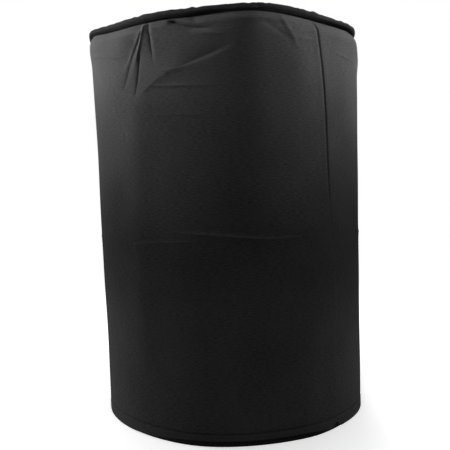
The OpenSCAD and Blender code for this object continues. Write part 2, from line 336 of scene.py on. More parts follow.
def back_folds(az, z):
    """Folds of the side that faces away: the second packing edge and slack under the binding."""
    return (
        fold(az, z, [(50, 570), (52, 420), (51, 250), (52, 60)], 2.8, 26, 26, 0.1, 0.2)
        + fold(az, z, [(118, 607), (114, 580), (108, 538)], -2.4, 7, 4, 0, 0.6)
        + fold(az, z, [(120, 607), (122, 580), (126, 556)], -1.8, 4, 7, 0, 0.6)
        + fold(az, z, [(98, 566), (124, 548), (152, 540)], 0.9, 16, 9, 0.4, 0.5)
        + fold(az, z, [(5, 606), (2, 585), (-3, 560)], -1.6, 5, 5, 0, 0.5)
        + fold(az, z, [(178, 606), (184, 580), (190, 562)], -1.8, 5, 5, 0, 0.5)
    )


def slack(az, z):
    """Slow unevenness of padded cloth."""
    a = np.radians(az)
    return (
        0.7 * np.sin(3 * a + z / 95) * np.sin(z / 120 + 0.6)
        + 0.5 * np.sin(5 * a - z / 70 + 1.3)
        + 0.35 * np.sin(9 * a + z / 41 + 2.1) * np.sin(z / 60)
    )


def seam_groove(off_deg, z):
    """Groove where the panel's two edges turn in, with a low welt on each side. Low down the left
    edge stands a little proud instead."""
    off = wrapped(off_deg) * ARC
    depth = GROOVE_DEPTH * ease((z - 240) / 170) + 0.9 * (1 - ease((z - HEM_Z) / 14))
    welt = WELT * bell(abs(off) - WELT_AT, WELT_W)
    proud = bell(off, np.where(off < 0, 16, 1.7))
    return mix(proud, welt, ease((z - 200) / 200)) - depth * bell(off, GROOVE_W)


def dressing(off_deg, z):
    """Outward offset of the cloth from the plain wall."""
    az = seam_az(z) + off_deg
    held = ease((STITCH_Z - z) / 5) * ease((z - HEM_Z) / 8)
    edge = wall_waves(az, z) + foot_out(az, z)
    edge = edge + edge_corners(az) * ease((z - CORNER_Z) / CORNER_LEN)
    edge = edge - edge_tucks(az) * ease((z - TUCK_Z) / TUCK_LEN)
    folds = pinch(az, z) + front_folds(az, z) + packing_folds(az, z) + back_folds(az, z)
    return edge + held * (folds + slack(az, z) + seam_groove(off_deg, z))


def hem_rise(az):
    """The front of the hem is turned up and shows the tape behind it, with a notch at the seam."""
    lift = FRONT_HEM_LIFT * between(az, -138, 34, -43, 22)
    return lift + HEM_NOTCH * bump(az, seam_az(HEM_Z), HEM_NOTCH_W)


def on_wall(off_deg, z, r):
    az = seam_az(z) + off_deg
    up = edge_up(az) * ease((z - RISE_Z) / RISE_LEN) + neck_up(az, z)
    return polar(az, r, z + up, LEAN * z / COVER_H)


# Meshes

def run_along(points):
    """Lengths along a line of points, from its start."""
    return np.concatenate(([0], np.cumsum(np.linalg.norm(np.diff(points, axis=0), axis=-1))))


def strip_uv(along, across):
    """Flat coordinates of a strip, in metres."""
    return np.stack(np.meshgrid(along, across), -1) * MM


def mesh_of(name, points, faces):
    """A mesh from points in millimetres."""
    mesh = bpy.data.meshes.new(name)
    mesh.from_pydata((points.reshape(-1, 3) * MM).tolist(), [], faces)
    return mesh


def placed(name, data):
    thing = bpy.data.objects.new(name, data)
    bpy.context.scene.collection.objects.link(thing)
    return thing


def quads(grid):
    corners = grid[:-1, :-1], grid[:-1, 1:], grid[1:, 1:], grid[1:, :-1]
    return np.stack(corners, -1).reshape(-1, 4).tolist()


def layer_mesh(name, outer, inner, uv, kept=None, round_trip=False, turn=0.0):
    """A closed mesh from two grids of points, in millimetres, that face each other. kept names the
    rows and columns of the outer grid that a coarser inner grid has. uv is the outer grid's, in
    metres, and turn is its length round a ring whose weave runs on past the end."""
    rows, across = outer.shape[:2]
    kept = kept or (np.arange(rows), np.arange(across))
    front = np.arange(rows * across).reshape(rows, across)
    back = front.size + np.arange(inner.shape[0] * inner.shape[1]).reshape(inner.shape[:2])
    row_picks, column_picks = kept
    points = np.concatenate((outer.reshape(-1, 3), inner.reshape(-1, 3)))
    flat = np.concatenate((uv.reshape(-1, 2), uv[np.ix_(*kept)].reshape(-1, 2)))
    if round_trip:
        front = np.column_stack((front, front[:, 0]))
        back = np.column_stack((back, back[:, 0]))
        column_picks = np.append(column_picks, across)
    faces = quads(front) + quads(back[:, ::-1])
    rims = [(front[0], back[0], column_picks), (front[-1], back[-1], column_picks)]
    if not round_trip:
        rims += [(front[:, 0], back[:, 0], row_picks), (front[:, -1], back[:, -1], row_picks)]
    for near, far, picks in rims:
        for k, (a, b) in enumerate(zip(picks, picks[1:])):
            faces.append([*near[a : b + 1].tolist(), int(far[k + 1]), int(far[k])])

    mesh = mesh_of(name, points, faces)
    corners = np.empty(len(mesh.loops), np.int32)
    mesh.loops.foreach_get("vertex_index", corners)
    flat = flat[corners]
    if turn:
        carry_past_end(mesh, flat, turn)
    mesh.uv_layers.new(name="weave").data.foreach_set("uv", flat.ravel().astype(np.float32))
    return as_piece(name, mesh)


def carry_past_end(mesh, flat, turn):
    """Moves the corners at a ring's start past its end on the faces that close it."""
    starts, totals = (np.empty(len(mesh.polygons), np.int32) for _ in range(2))
    mesh.polygons.foreach_get("loop_start", starts)
    mesh.polygons.foreach_get("loop_total", totals)
    furthest = np.repeat(np.maximum.reduceat(flat[:, 0], starts), totals)
    flat[:, 0] += turn * (furthest - flat[:, 0] > turn / 2)


def as_piece(name, mesh, sharp=math.radians(50)):
    whole = bmesh.new()
    whole.from_mesh(mesh)
    bmesh.ops.recalc_face_normals(whole, faces=whole.faces)
    whole.to_mesh(mesh)
    whole.free()
    mesh.shade_smooth()
    mesh.set_sharp_from_angle(angle=sharp)
    return placed(name, mesh)


def finish_piece(piece, body, slot, *nodes):
    piece.data.materials.append(MATERIALS[slot])
    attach(piece, body)
    if nodes:
        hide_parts(*nodes)
    return piece


def add_flat_layer(name, body, slot, node, outer, inner, round_trip=False):
    """A layer whose weave lies as its outer face does when seen from above."""
    layer = layer_mesh(name, outer, inner, outer[..., :2] * MM, round_trip=round_trip)
    return finish_piece(layer, body, slot, node)


def settled(face, held, slack, push, ring=False, frames=24):
    """How far a cloth face moves when the foam under it pushes: Blender's cloth, held at some points."""
    index = np.arange(held.size).reshape(held.shape)
    if ring:
        index = np.column_stack((index, index[:, 0]))
    mesh = mesh_of("settling", face, quads(index))
    sheet = placed("settling", mesh)
    scene = bpy.context.scene
    sheet.vertex_groups.new(name="held").add(np.flatnonzero(held).tolist(), 1.0, "REPLACE")
    cloth_step = sheet.modifiers.new("cloth", "CLOTH")
    cloth_step.point_cache.frame_start, cloth_step.point_cache.frame_end = 1, frames
    settings = cloth_step.settings
    settings.quality, settings.mass = 4, 0.002
    settings.bending_stiffness = 0.05
    settings.shrink_min = -slack
    settings.vertex_group_mass = "held"
    settings.use_pressure, settings.uniform_pressure_force = True, push
    settings.effector_weights.gravity = 0
    before = scene.frame_current
    for step in range(1, frames + 1):
        scene.frame_set(step)
    shaped = sheet.evaluated_get(bpy.context.evaluated_depsgraph_get()).data
    points = np.empty(face.size, np.float32)
    shaped.vertices.foreach_get("co", points)
    bpy.data.objects.remove(sheet)
    bpy.data.meshes.remove(mesh)
    scene.frame_set(before)
    return points.reshape(face.shape) / MM - face


# Materials

class Nodes:
    """A short way to add, fill and link shader nodes."""

    def __init__(self, tree):
        self.tree = tree

    def fill(self, node, values):
        for key, value in values.items():
            if isinstance(value, bpy.types.NodeSocket):
                self.tree.links.new(value, node.inputs[key])
            else:
                node.inputs[key].default_value = value

    def add(self, kind, values=None, **settings):
        node = self.tree.nodes.new("ShaderNode" + kind)
        for key, value in settings.items():
            setattr(node, key, value)
        self.fill(node, values or {})
        return node

    def surface(self, values):
        self.fill(self.tree.nodes["Principled BSDF"], values)

    def math(self, operation, a, b=0.0):
        return self.add("Math", {0: a, 1: b}, operation=operation).outputs[0]

    def swing(self, value, by):
        """How far a value is from one half, times a factor."""
        return self.math("MULTIPLY", self.math("SUBTRACT", value, 0.5), by)

    def scaled(self, source, across, along):
        return self.add("Mapping", {"Vector": source, "Scale": (across, along, 1)}).outputs[0]

    def blend(self, factor, dark, light):
        """A grey between two greys."""
        greys = {"Factor": factor, 6: (dark, dark, dark, 1), 7: (light, light, light, 1)}
        return self.add("Mix", greys, data_type="RGBA").outputs[2]

    def bands(self, source, direction):
        wave = self.add("TexWave", {"Vector": source, "Scale": 1.0}, bands_direction=direction)
        return wave.outputs[1]

    def noise(self, source, scale, detail):
        return self.add("TexNoise", {"Vector": source, "Scale": scale, "Detail": detail}).outputs[0]

    def cells(self, source, size):
        return self.add("TexVoronoi", {"Vector": source, "Scale": 1 / size}).outputs[0]

    def relief(self, height, strength, depth):
        return self.add("Bump", {"Height": height, "Strength": strength, "Distance": depth}).outputs[0]


def new_material(name):
    material = bpy.data.materials.new(name)
    material.use_nodes = True
    return material, Nodes(material.node_tree)


WAVE_TURN = math.tau / 20


def cloth(name, dark, light, thread, slub, slub_share, rough, sheen, relief, ribs=False):
    """Woven cloth: threads of a width, slubs of a length, and slow fading, all at true scale."""
    material, made = new_material(name)
    uv = made.add("UVMap", uv_map="weave").outputs[0]
    turns = WAVE_TURN / (2 * thread * MM)
    threads = made.scaled(uv, turns, turns)
    warp = made.bands(threads, "X")
    if ribs:
        weave = warp
    else:
        weft = made.bands(threads, "Y")
        both = made.math("MULTIPLY", warp, weft)
        neither = made.math("MULTIPLY", made.math("SUBTRACT", 1.0, warp), made.math("SUBTRACT", 1.0, weft))
        weave = made.math("ADD", both, neither)
    slubs = made.scaled(uv, 1 / (slub * MM), 1 / (1.6 * thread * MM))
    streaks = made.noise(slubs, scale=1.0, detail=3.0)
    fading = made.noise(uv, scale=9.0, detail=3.0)
    slubbed = made.math("MULTIPLY", streaks, slub_share)
    faded = made.math("MULTIPLY", fading, 1 - slub_share)
    tone = made.math("ADD", slubbed, faded)
    tone = made.math("ADD", made.swing(tone, 1.8), 0.5)
    tone = made.math("ADD", tone, made.swing(weave, 0.35))
    smoother = made.math("MULTIPLY", streaks, -0.16)
    height = made.math("ADD", weave, made.math("MULTIPLY", streaks, 1.6))
    made.surface({
        "Base Color": made.blend(tone, dark, light),
        "Roughness": made.math("ADD", smoother, rough + 0.08),
        "Normal": made.relief(height, strength=0.6, depth=relief * MM),
        "Specular IOR Level": 0.0,
        "Sheen Weight": sheen,
        "Sheen Roughness": 0.45,
    })
    return material


def sponge(name, dark, light, pore):
    """Open foam: round pores at true scale."""
    material, made = new_material(name)
    pores = made.cells(made.add("TexCoord").outputs["Object"], pore * MM)
    made.surface({
        "Base Color": made.blend(pores, dark, light),
        "Roughness": 0.9,
        "Normal": made.relief(pores, strength=0.7, depth=pore * MM),
    })
    return material


def pile(name, dark, light, loop):
    """Hook or loop pile: a dense field of tufts with a fuzzy edge. Its colour follows the tufts' height,
    with painted shade in the hollows between them.
    """
    material, made = new_material(name)
    uv = made.add("UVMap", uv_map="weave").outputs[0]
    fuzz = made.noise(uv, scale=0.4 / (loop * MM), detail=4.0)
    height = made.math("SUBTRACT", fuzz, made.cells(uv, loop * MM))
    made.surface({
        # The base colour is the pile's height: painted shade, darker in the hollows and lighter on the
        # tufts
        "Base Color": made.blend(height, dark, light),
        "Roughness": 0.85,
        "Normal": made.relief(height, strength=0.8, depth=loop * MM),
        "Specular IOR Level": 0.0,
        "Sheen Weight": 0.004,
    })
    return material


MATERIALS = {
    "shell_fabric": cloth(
        "woven_nylon", dark=0.010, light=0.042, thread=0.7, slub=7, slub_share=0.7,
        rough=0.55, sheen=0.0, relief=0.35,
    ),
    "binding_tape": cloth(
        "ribbed_tape", dark=0.0, light=0.020, thread=0.8, slub=5, slub_share=0.75,
        rough=0.6, sheen=0.0, relief=0.3, ribs=True,
    ),
    "lining_fabric": cloth(
        "lining_weave", dark=0.035, light=0.06, thread=0.45, slub=16, slub_share=0.5,
        rough=0.5, sheen=0.008, relief=0.15,
    ),
    "foam": sponge("open_foam", dark=0.05, light=0.12, pore=1.1),
    "grip_strip": pile("grip_pile", dark=0.006, light=0.022, loop=1.0),
}


# Wall layers

HALF_SEAM = 0.004
columns = stops(
    (HALF_SEAM, 0.12), (0.9, 0.9), (27, 2.0), (248, 0.9), (271, 0.24), (296, 0.9),
    (359.1, 0.12), (360 - HALF_SEAM, 1),
)
heights = stops(
    (HEM_LIFT, 1.5), (12, 0.9), (24, 2.2), (35, 8), (192, 4), (222, 8), (285, 1.1), (312, 8),
    (440, 3.5), (464, 1.4), (482, 2.4), (490, 1.4), (STITCH_Z, 1.5), (STACK_TOP, 1),
)


def every_second(values):
    return np.unique(np.append(np.arange(0, len(values), 2), len(values) - 1))


def lowest_near(field):
    """The least offset among each point's neighbours, so that a coarser layer stays under a finer one."""
    wide = np.pad(field, 2, mode="edge")
    rows, across = field.shape
    return np.min([wide[i : i + rows, j : j + across] for i in range(5) for j in range(5)], 0)


wall_kept = every_second(heights), every_second(columns)
wall_off, wall_z = np.meshgrid(columns, heights)
wall_folds = dressing(wall_off, wall_z)
wall_uv = strip_uv(columns * ARC, heights)
coarse = np.ix_(*wall_kept)
inner_off, inner_z, inner_uv = wall_off[coarse], wall_z[coarse], wall_uv[coarse]
inner_folds = lowest_near(wall_folds)[coarse]


def turned_up(points, off_deg, z):
    """Lifts the hem under its stitches."""
    share = np.clip((HEM_Z - z) / (HEM_Z - HEM_LIFT), 0, 1)
    points[..., 2] += hem_rise(seam_az(z) + off_deg) * share
    return points


def wall_grid(face, off_deg, z, folds):
    return on_wall(off_deg, z, wall_r(z) - wall_sink(z) + folds - wall_depth(face, z))


def inner_grid(face):
    z = inner_z.copy()
    z[0] = SOLE_Z
    return wall_grid(face, inner_off, z, inner_folds)


wall_shell = layer_mesh(
    "wall_shell_cloth",
    turned_up(wall_grid(SHELL_OUT, wall_off, wall_z, wall_folds), wall_off, wall_z),
    turned_up(wall_grid(SHELL_IN, inner_off, inner_z, inner_folds), inner_off, inner_z),
    wall_uv, wall_kept,
)
finish_piece(wall_shell, "cover", "shell_fabric", "wall_shell")
wall_padding = layer_mesh("wall_foam", inner_grid(FOAM_OUT), inner_grid(FOAM_IN), inner_uv)
finish_piece(wall_padding, "cover", "foam", "wall_padding")
wall_lining = layer_mesh("wall_lining_cloth", inner_grid(LINING_OUT), inner_grid(LINING_IN), inner_uv)
finish_piece(wall_lining, "cover", "lining_fabric", "wall_lining")


# Top edge: tape bead

FULL_DEPTH = laminate_depth(LINING_IN, FOAM_T)
RIM_DEPTH = laminate_depth(LINING_IN, 0)
RIM_OUT_R = wall_r(PANEL_Z - FULL_DEPTH) - EDGE_SINK - laminate_depth(LINING_IN, NIPPED_T) - LAYER_GAP
RIM_C = RIM_OUT_R - RIM_DEPTH - RIM_R


def rim_face_r(face):
    """Radius of a face of the top where its rim stands up inside the bead."""
    return RIM_OUT_R - RIM_DEPTH + laminate_depth(face, 0)


def on_top(az, r, z, share=1.0):
    """A point of the top at a share of the waves and the lean of its edge."""
    return polar(az, r + edge_out(az) * share, z + edge_up(az) * share, LEAN * share)


bead_z = np.linspace(STITCH_Z, STACK_TOP, 5)
crown = np.radians(np.linspace(0, 180, 19)[1:-1])


def bead_swell(az):
    """How far the crown stands out over the stitches."""
    return BEAD_SWELL - 4.2 * bump(az, -84, 12)


def bead_lean(az):
    """How far the bead leans out for its height."""
    return 0.5 * bump(az, -42, 20)


def bead_section(inset, swell=BEAD_SWELL):
    """Section of the bead at a depth under its outer face, from the outer leg over the crown."""
    outer = (wall_r(bead_z) - wall_sink(bead_z) + TAPE_ROOM - inset)[:, None]
    outer = outer + swell * np.sin(np.pi / 2 * (bead_z - STITCH_Z) / CROWN_H)[:, None]
    inner = np.full(outer.shape, rim_face_r(SHELL_OUT) - TAPE_ROOM + inset)
    middle, half = (outer[-1] + inner[-1]) / 2, (outer[-1] - inner[-1]) / 2
    r = np.concatenate((outer, middle + half * np.cos(crown)[:, None], inner[::-1]))
    z = np.concatenate((bead_z, STACK_TOP + (CROWN_H - inset) * np.sin(crown), bead_z[::-1]))
    return r, z[:, None]


def bead_wrinkles(az, share):
    """Slanting ripples of tape taken round a curve, the lump over the closing seam and a twist."""
    turn = np.radians(az)
    uneven = turn + 0.03 * np.sin(13 * turn) + 0.02 * np.sin(29 * turn + 1)
    ripples = 0.28 * np.sin(131 * uneven + 5 * share) + 0.26 * np.sin(89 * uneven - 3 * share + 1)
    ripples = (ripples + 0.3 * np.sin(47 * uneven + 4 * share)) * (0.7 + 0.3 * np.sin(17 * turn))
    lump = 1.1 * bump(az, seam_az(STACK_TOP), 1.6)
    twist = 1.4 * bump(az, -101.2, 1.1) - 1.0 * bump(az, -98.8, 1.2)
    twist = twist + 1.2 * bump(az, -120.2, 0.9) - 1.6 * bump(az, -123.2, 1.4)
    return ripples + lump + twist * share


bead_az = np.arange(0, 360, 0.75)


def bead_grid(inset):
    r, z = bead_section(inset, bead_swell(bead_az))
    share = np.linspace(0, 1, len(r))[:, None]
    puff = np.sin(np.pi * share) * bead_wrinkles(bead_az[None], share)
    z = z + puff * np.sin(np.pi * share) + neck_up(bead_az[None], z) * (share < 0.5)
    lean = bead_lean(bead_az[None]) * (z - STITCH_Z) * ease(1 - share)
    return on_top(bead_az[None] + 0 * share, r + puff * np.cos(np.pi * share) + lean, z)


def tape_uv(az, r, z, radius):
    section = np.stack((r.ravel(), z.ravel()), -1)
    return strip_uv(np.radians(az) * radius, run_along(section))


top_bead = layer_mesh(
    "top_bead_tape", bead_grid(0), bead_grid(TAPE_T), tape_uv(bead_az, *bead_section(0), TOP_R),
    round_trip=True, turn=math.tau * TOP_R * MM,
)
finish_piece(top_bead, "cover", "binding_tape", "top_edge_binding")


# Bottom edge: tape behind the hem

def sole_section(inset):
    """Section of the tape under the foam and lining, from the outer leg round the sole."""
    leg = np.linspace(TAPE_FOLD, HEM_R, 6)
    bend = np.radians(np.linspace(0, 90, 6))[1:]
    bend_r = HEM_R - inset
    out = wall_r(leg) - wall_sink(leg) - wall_depth(FOAM_OUT, leg) + TAPE_ROOM
    inn = wall_r(leg) - wall_sink(leg) - wall_depth(LINING_IN, leg) - TAPE_ROOM
    r = np.concatenate((
        out - inset, out[-1] - HEM_R + bend_r * np.cos(bend),
        inn[-1] + HEM_R - bend_r * np.cos(bend[::-1]), inn[::-1] + inset,
    ))
    z = np.concatenate((leg, HEM_R - bend_r * np.sin(bend), HEM_R - bend_r * np.sin(bend[::-1]), leg[::-1]))
    return r, z


sole_az = np.arange(0, 360, 1.5)


def sole_grid(inset):
    r, z = (values[:, None] + 0 * sole_az for values in sole_section(inset))
    return polar(sole_az, r + foot_out(sole_az, z), z)


sole_tape = layer_mesh(
    "bottom_tape", sole_grid(0), sole_grid(TAPE_T), tape_uv(sole_az, *sole_section(0), BOTTOM_R),
    round_trip=True, turn=math.tau * BOTTOM_R * MM,
)
finish_piece(sole_tape, "cover", "binding_tape", "bottom_edge_binding")


# Sizes of the flap

FLAP_DEPTH = laminate_depth(LINING_IN, FLAP_FOAM_T)
NOSE_R = FLAP_DEPTH / 2 + TAPE_ROOM
STRIP_ROOM = 2 * GRIP_T + RUN_GAP
SLOT_EDGE_Y = SLOT_W / 2 + SLOT_LEG
HINGE_Y = SLOT_EDGE_Y + HINGE_SPACE + HINGE_TAPE_W / 2
HINGE_Z = PANEL_Z + STRIP_ROOM + FLAP_DEPTH / 2
GRIP_Y = -SLOT_EDGE_Y - GRIP_SPACE - GRIP_W / 2
FLAP_FRONT_Y = GRIP_Y - GRIP_W / 2 - GRIP_MARGIN - FLAP_LEG
FLAP_MID_Y = (HINGE_Y + FLAP_FRONT_Y) / 2
FLAP_BEND_R = FLAP_LEG + FLAP_CORNER_R
FLAP_CORE_L, FLAP_CORE_W = SLOT_L + 2 * FLAP_SIDE, HINGE_Y - FLAP_FRONT_Y
FLAP_RUN_L, FLAP_RUN_W = FLAP_CORE_L - 2 * FLAP_BEND_R, FLAP_CORE_W - 2 * FLAP_BEND_R


# Top layers

FLAT_STEPS, SWELL_STEPS, SLOT_NOSE = 18, 11, 3.0
HELD_SIDE, HELD_FRONT = 6, 8
top_az = np.arange(0, 360, 1.5)


def slot_edge(az, margin):
    """Distance from the middle of the top to the slot's outline, grown by a margin."""
    half, end = (SLOT_L - SLOT_W) / 2, SLOT_W / 2 + margin
    along, across = abs(np.cos(np.radians(az))), abs(np.sin(np.radians(az)))
    side = end / np.maximum(across, 1e-6)
    tip = half * along + np.sqrt(np.maximum(end**2 - (half * across) ** 2, 0))
    return np.where(side * along < half, side, tip)


def top_puckers(az, r):
    """Puckers where the padded top is sewn into the bead."""
    turn = np.radians(az)
    puckers = 0.5 * np.sin(43 * turn) * ease((r - 178) / 28) * ease((RIM_C + 2 - r) / 8)
    return puckers * (0.6 + 0.4 * np.sin(5 * turn + 1))


def top_grid(face, rim=True):
    """One face of the top: a disc round the slot, whose cloths turn up as a rim."""
    swell = np.linspace(0, 1, SWELL_STEPS)
    foam = np.concatenate((np.full(FLAT_STEPS, FOAM_T), mix(FOAM_T, NIPPED_T, ease(swell))))[:, None]
    from_slot = np.linspace(0, 1, FLAT_STEPS, endpoint=False)[:, None]
    flat_r = mix(slot_edge(top_az, SLOT_NOSE - 1), RIM_C - PUFF_LEN, from_slot)
    r = np.concatenate((flat_r, (RIM_C - PUFF_LEN * (1 - swell))[:, None] + 0 * top_az))
    z = PANEL_Z - laminate_depth(face, foam) + top_puckers(top_az, r)
    if rim:
        t = np.linspace(0, 1, 6)[1:]
        bend = np.radians(90 * t - 90)
        bend_r = RIM_R + laminate_depth(face, NIPPED_T * (1 - t))
        up_r = np.append(RIM_C + bend_r * np.cos(bend), rim_face_r(face))
        up_z = np.append(PANEL_Z + RIM_R + bend_r * np.sin(bend), STACK_TOP)
        r = np.concatenate((r, up_r[:, None] + 0 * top_az))
        z = np.concatenate((z, up_z[:, None] + 0 * top_az))
    return on_top(top_az + 0 * r, r, z, ease((r - 130) / 70))


top_face = top_grid(SHELL_OUT)
near_flap = abs(top_face[..., 0]) < FLAP_CORE_L / 2 + HELD_SIDE
near_flap &= abs(top_face[..., 1] - FLAP_MID_Y) < FLAP_CORE_W / 2 + HELD_FRONT
sewn = np.arange(len(top_face))[:, None] >= FLAT_STEPS + SWELL_STEPS - 1
top_puff = settled(top_face, near_flap | sewn, slack=0.0015, push=-14, ring=True)
foam_face = top_grid(FOAM_OUT, False)
top_shell = add_flat_layer(
    "top_shell_cloth", "cover", "shell_fabric", "top_shell",
    top_face + top_puff, top_grid(SHELL_IN) + top_puff, round_trip=True,
)
top_padding = add_flat_layer(
    "top_foam", "cover", "foam", "top_padding",
    foam_face + top_puff[: len(foam_face)], top_grid(FOAM_IN, False), round_trip=True,
)
top_lining = add_flat_layer(
    "top_lining_cloth", "cover", "lining_fabric", "top_lining",
    top_grid(LINING_OUT), top_grid(LINING_IN), round_trip=True,
)


# Tapes round the slot and the flap

def round_way(half_x, half_y, r, step, middle_y=0.0):
    """Stations round a rounded rectangle: the middle that each turns about, and its outward direction."""
    corners = np.array(((1, -1), (1, 1), (-1, 1), (-1, -1))) * (half_x, half_y) + (0, middle_y)
    middles, ways = [], []
    for k, (here, after) in enumerate(zip(corners, np.roll(corners, -1, 0))):
        turns = np.linspace(90 * k - 90, 90 * k, math.ceil(math.pi / 2 * r / step), endpoint=False)
        along = np.linspace(0, 1, math.ceil(np.linalg.norm(after - here) / step), endpoint=False)
        middles += [here] * len(turns) + [mix(here, after, t) for t in along]
        ways += [*turns, *[90 * k] * len(along)]
    ways = np.radians(ways)
    return np.array(middles), np.stack((np.cos(ways), np.sin(ways)), -1)


def swept(way, out, height):
    """A section of outward reaches and heights, taken round a way."""
    middles, outward = way
    flat = middles + outward * np.asarray(out)[:, None, None]
    return np.dstack((flat, np.broadcast_to(np.asarray(height)[:, None], flat.shape[:2])))


def ripples(count, pitch, size):
    """Small unevenness along a tape, the same on every run."""
    k = np.arange(count)
    return size * (np.sin(k * math.tau / pitch) + 0.6 * np.sin(k * math.tau / (2.7 * pitch) + 1))


def add_round_tape(name, body, node, way, section):
    """A folded tape round a way. section gives reaches and heights at a depth under the tape's face."""
    outer, inner = (swept(way, *section(inset)) for inset in (0, TAPE_T))
    wave = ripples(outer.shape[1], pitch=7, size=0.12)
    for face in (outer, inner):
        face[..., 2] += wave
    middle = outer[len(outer) // 2, :, :2]
    run = run_along(np.vstack((middle, middle[:1])))
    uv = strip_uv(run[:-1], run_along(outer[:, 0]))
    tape = layer_mesh(name, outer, inner, uv, round_trip=True, turn=run[-1] * MM)
    return finish_piece(tape, body, "binding_tape", node), outer


def slot_section(inset):
    low, high = PANEL_Z - FULL_DEPTH - TAPE_ROOM, PANEL_Z + TAPE_ROOM
    bend = np.radians(np.linspace(90, 180, 7))
    leg = np.linspace(SLOT_LEG, SLOT_NOSE, 4, endpoint=False)
    margin = np.concatenate((leg, SLOT_NOSE + (SLOT_NOSE - inset) * np.cos(bend)))
    height = np.concatenate((0 * leg + high - inset, high - SLOT_NOSE + (SLOT_NOSE - inset) * np.sin(bend)))
    reach = SLOT_W / 2 + np.concatenate((margin, margin[::-1]))
    return reach, np.concatenate((height, low + high - height[::-1]))


def flap_tape_section(inset):
    nose = np.radians(np.linspace(90, -90, 11))
    leg = np.linspace(FLAP_BEND_R - FLAP_LEG, FLAP_BEND_R, 4, endpoint=False)
    r = NOSE_R - inset
    reach = np.concatenate((leg, FLAP_BEND_R + r * np.cos(nose), leg[::-1]))
    return reach, HINGE_Z + np.concatenate((0 * leg + r, r * np.sin(nose), 0 * leg - r))


slot_way = round_way((SLOT_L - SLOT_W) / 2, 0, SLOT_W / 2, step=3)
flap_way = round_way(FLAP_RUN_L / 2, FLAP_RUN_W / 2, FLAP_BEND_R, step=2.6, middle_y=FLAP_MID_Y)
slot_tape, slot_face = add_round_tape("slot_tape", "cover", "handle_slot_binding", slot_way, slot_section)
flap_tape, flap_face = add_round_tape("flap_edge_tape", "flap", "flap_binding", flap_way, flap_tape_section)


# Flap layers

flap_x = stops((-FLAP_CORE_L / 2, 1.5), (-FLAP_RUN_L / 2, 4), (FLAP_RUN_L / 2, 1.5), (FLAP_CORE_L / 2, 1))
flap_v = np.linspace(-1, 1, 41)


def flap_grid(face):
    """One face of the flap, still flat."""
    x, v = np.meshgrid(flap_x, flap_v)
    past = np.clip(abs(x) - FLAP_RUN_L / 2, 0, FLAP_BEND_R)
    half = FLAP_RUN_W / 2 + np.sqrt(FLAP_BEND_R**2 - past**2)
    y = v * half
    z = HINGE_Z + FLAP_DEPTH / 2 - laminate_depth(face, FLAP_FOAM_T) + 0 * x
    return np.stack((x, y + FLAP_MID_Y, z), -1)


flap_top_face = flap_grid(SHELL_OUT)
from_edge_x = FLAP_CORE_L / 2 - abs(flap_top_face[..., 0])
from_edge_y = FLAP_CORE_W / 2 - abs(flap_top_face[..., 1] - FLAP_MID_Y)
under_tape = np.minimum(from_edge_x, from_edge_y) < FLAP_LEG
flap_puff = settled(flap_top_face, under_tape, slack=0.002, push=14)
flap_shell = add_flat_layer(
    "flap_shell_cloth", "flap", "shell_fabric", "flap_shell",
    flap_top_face + flap_puff, flap_grid(SHELL_IN) + flap_puff,
)
flap_padding = add_flat_layer(
    "flap_foam", "flap", "foam", "flap_padding", flap_grid(FOAM_OUT) + flap_puff, flap_grid(FOAM_IN)
)
flap_lining = add_flat_layer(
    "flap_lining_cloth", "flap", "lining_fabric", "flap_lining",
    flap_grid(LINING_OUT), flap_grid(LINING_IN),
)


# Doubled tape under the hinge edge

hinge_x = np.linspace(-FLAP_RUN_L / 2, FLAP_RUN_L / 2, 56)


def hinge_grid(inset):
    half_t = (STRIP_ROOM - TAPE_ROOM - RUN_GAP) / 2
    nose = np.radians(np.linspace(270, 90, 7))
    back, front = HINGE_Y + HINGE_TAPE_W / 2, HINGE_Y - HINGE_TAPE_W / 2 + half_t
    leg = np.linspace(back, front, 4, endpoint=False)
    r = half_t - inset
    y = np.concatenate((leg, front + r * np.cos(nose), leg[::-1]))
    z = PANEL_Z + half_t + np.concatenate((0 * leg - r, r * np.sin(nose), 0 * leg + r))
    x, y = np.meshgrid(hinge_x, y)
    return np.dstack((x, y + ripples(len(hinge_x), pitch=9, size=0.15), z[:, None] + 0 * x))


hinge_face = hinge_grid(0)
hinge_uv = strip_uv(hinge_x, run_along(hinge_face[:, 0]))
hinge_tape = layer_mesh("hinge_tape", hinge_face, hinge_grid(TAPE_T), hinge_uv)
finish_piece(hinge_tape, "cover", "binding_tape", "flap_hinge_tape")


# Hook and loop strips

def strip_grid(z, soft):
    """One face of a strip. soft is the depth of its pile."""
    x, y = np.meshgrid(np.linspace(-GRIP_L / 2, GRIP_L / 2, 101), np.linspace(-GRIP_W / 2, GRIP_W / 2, 21))
    pile_waves = (1 + np.sin(x * 1.9) * np.sin(y * 2.1 + np.sin(x * 0.7))) / 2
    edge = 1 - ease(np.minimum(GRIP_L / 2 - abs(x), GRIP_W / 2 - abs(y)) / 1.5)
    return np.dstack((x, y + GRIP_Y, z - soft * (pile_waves + edge)))


PILE_DEPTH = 0.18
loop_low, hook_low = PANEL_Z, PANEL_Z + GRIP_T + RUN_GAP
loop_strip = add_flat_layer(
    "loop_strip_pile", "cover", "grip_strip", "loop_strip",
    strip_grid(loop_low + GRIP_T, PILE_DEPTH), strip_grid(loop_low, 0),
)
hook_strip = add_flat_layer(
    "hook_strip_pile", "flap", "grip_strip", "hook_strip",
    strip_grid(hook_low + GRIP_T, 0), strip_grid(hook_low, -PILE_DEPTH),
)


# Tape over the closing seam, inside

SEAM_LOW, SEAM_HIGH = HEM_Z + PUFF_LEN + SEAM_STOP, STITCH_Z - PUFF_LEN - SEAM_STOP
SEAM_HALF = LAYER_GAP / 2 + SHELL_T + LINING_T + 2 * LAYER_GAP + TAPE_T
SEAM_STATIONS, SEAM_MIDDLE = 130, 60
seam_z = np.linspace(SEAM_LOW, SEAM_HIGH, SEAM_STATIONS)


